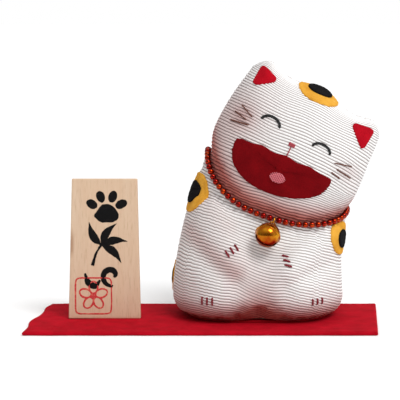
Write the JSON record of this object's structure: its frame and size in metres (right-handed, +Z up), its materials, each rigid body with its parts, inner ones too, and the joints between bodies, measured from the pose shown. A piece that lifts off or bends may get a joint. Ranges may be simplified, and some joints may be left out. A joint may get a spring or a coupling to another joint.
{
  "type": "beckoning cat figurine",
  "caption": "Stuffed crepe cat leaning over in laughter, with a beaded collar and a jingle bell, on a felt mat beside a small wooden plaque.",
  "frame": {"origin": "centre of the mat's underside, on the surface that the set stands on", "axes": "+X along the mat towards the side that the cat's head leans to, +Y from the front edge to the back edge, +Z up"},
  "size_m": [0.1756, 0.0903, 0.1276],
  "materials": {
    "mat_felt": "crimson wool felt",
    "white_crepe": "white ribbed crepe",
    "red_felt": "bright red felt",
    "yellow_felt": "ochre yellow felt",
    "black_felt": "black felt",
    "mouth_felt": "deep red felt",
    "tongue_felt": "pink felt",
    "black_thread": "black embroidery thread",
    "red_thread": "dark red embroidery thread",
    "brown_thread": "brown embroidery thread",
    "card": "grey card",
    "ballast_cloth": "cotton pouch filled with pellets",
    "wadding": "polyester wadding",
    "elastic": "dark red elastic thread",
    "bead_glass": "dark red glass with a gold lustre",
    "brass": "polished brass",
    "steel": "plain steel",
    "pale_wood": "pale unvarnished wood",
    "black_ink": "black brush ink",
    "red_ink": "red stamp ink"
  },
  "bodies": {
    "mat": {"mat": "mat_felt"},
    "cat": {"front_cover": "white_crepe", "back_cover": "white_crepe", "sole": "red_felt", "base_board": "card", "ballast_bag": "ballast_cloth", "wadding": "wadding", "tail": "white_crepe", "left_ear_lining": "red_felt", "right_ear_lining": "red_felt", "left_eye": "black_thread", "right_eye": "black_thread", "nose": "red_thread", "mouth_felt": "mouth_felt", "tongue": "tongue_felt", "left_whiskers": "brown_thread", "right_whiskers": "brown_thread", "hand_claws": "red_thread", "foot_claws": "red_thread", "crown_spot": "yellow_felt", "crown_spot_centre": "black_felt", "left_shoulder_spot": "yellow_felt", "left_shoulder_centre": "black_felt", "right_shoulder_spot": "yellow_felt", "right_shoulder_centre": "black_felt", "left_hip_spot": "yellow_felt", "left_hip_centre": "black_felt", "right_hip_spot": "yellow_felt", "right_hip_centre": "black_felt", "collar_string": "elastic", "collar_beads": "bead_glass", "collar_knot": "elastic"},
    "plaque": {"plaque_board": "pale_wood", "plaque_prop": "pale_wood", "plaque_ink": "black_ink", "plaque_seal": "red_ink"},
    "ring": {"jump_ring": "brass"},
    "bell": {"bell_loop": "brass", "bell_upper_shell": "brass", "bell_lower_shell": "brass"},
    "pellet": {"bell_pellet": "steel"}
  },
  "joints": [
    {"name": "cat_lift", "type": "slide", "parent": "mat", "child": "cat", "axis": [0, 0, 1], "range_m": [0, 0.05]},
    {"name": "plaque_lift", "type": "slide", "parent": "mat", "child": "plaque", "axis": [0, 0, 1], "range_m": [0, 0.05]},
    {"name": "ring_swing", "type": "hinge", "parent": "cat", "child": "ring", "pos_m": [0.03593, -0.01605, 0.05276], "axis": [-0.9615, -0.018, 0.2742], "range_deg": [0, 70]},
    {"name": "bell_swing", "type": "hinge", "parent": "ring", "child": "bell", "pos_m": [0.03496, -0.01813, 0.0509], "axis": [-0.2071, 0.7035, -0.6799], "range_deg": [-25, 25]},
    {"name": "pellet_rattle", "type": "slide", "parent": "bell", "child": "pellet", "axis": [0.3288, 0.7046, 0.6289], "range_m": [0, 0.0075]}
  ]
}
